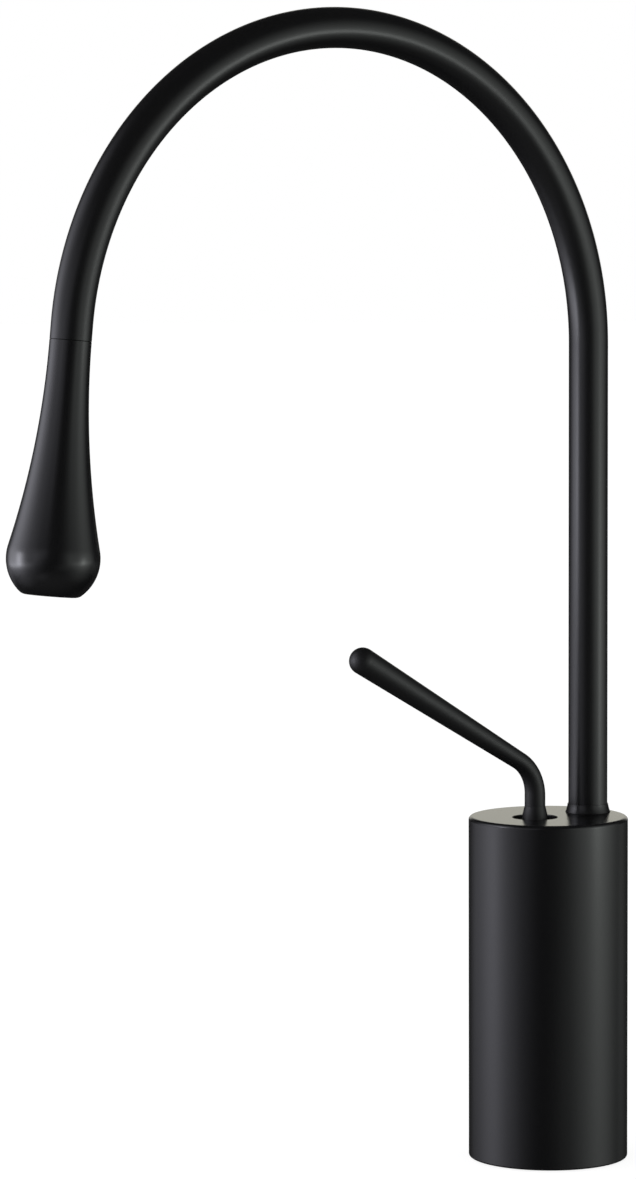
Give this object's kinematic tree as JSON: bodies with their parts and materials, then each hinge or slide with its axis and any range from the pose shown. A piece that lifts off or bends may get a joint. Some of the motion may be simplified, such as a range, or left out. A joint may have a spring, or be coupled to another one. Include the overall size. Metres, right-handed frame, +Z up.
{
  "type": "mixer tap",
  "caption": "Tall mixer tap: round column, slim swan-neck spout that swivels, drop-shaped nozzle, and a bent rod lever that turns and lifts on a joystick cartridge.",
  "frame": {"origin": "centre of the column's foot, on the deck", "axes": "+Z up along the column, -Y towards the basin, the way the spout reaches, X across"},
  "size_m": [0.05, 0.2232, 0.3591],
  "materials": {
    "black_finish": "satin",
    "brass": "satin",
    "stainless_steel": "satin",
    "rubber": "matte",
    "ceramic": "satin",
    "plastic": "matte"
  },
  "bodies": {
    "base": {"column_shell": "black_finish", "valve_body": "brass", "waterway_plug": "brass", "lock_ring": "brass", "foot_ring": "brass", "base_seal": "rubber", "cartridge_housing": "plastic", "cartridge_base": "plastic", "cartridge_seals": "rubber", "fixed_disc": "ceramic", "cartridge_nut": "brass", "thrust_washer": "plastic"},
    "spout": {"spout_tube": "black_finish", "spout_collar": "black_finish", "swivel_spigot": "brass", "spigot_orings": "rubber", "spigot_washer": "stainless_steel", "spigot_screw": "stainless_steel", "nozzle": "black_finish", "nozzle_connector": "brass", "nozzle_oring": "rubber", "aerator_seal": "rubber", "aerator_housing": "plastic", "aerator_screen": "stainless_steel"},
    "rotor": {"cartridge_rotor": "plastic", "pivot_pin": "stainless_steel"},
    "lever": {"lever_handle": "black_finish", "lever_ferrule": "black_finish", "lever_spindle": "stainless_steel"},
    "flow_disc": {"disc_carrier": "plastic", "moving_disc": "ceramic"}
  },
  "joints": [
    {"name": "spout_swivel", "type": "hinge", "parent": "base", "child": "spout", "pos_m": [0, 0.01607, 0.105], "axis": [0, 0, 1], "continuous": true},
    {"name": "lever_turn", "type": "hinge", "parent": "base", "child": "rotor", "pos_m": [0, -0.00533, 0.099], "axis": [0, 0, 1], "range_deg": [-45, 45]},
    {"name": "lever_lift", "type": "hinge", "parent": "rotor", "child": "lever", "pos_m": [0, -0.00533, 0.099], "axis": [-1, 0, 0], "range_deg": [0, 15]},
    {"name": "disc_slide", "type": "slide", "parent": "rotor", "child": "flow_disc", "axis": [0, -1, 0], "range_m": [0, 0.0023]}
  ],
  "couplings": [
    {"joint": "disc_slide", "follows": "lever_lift", "m_per_rad": 0.0086}
  ]
}
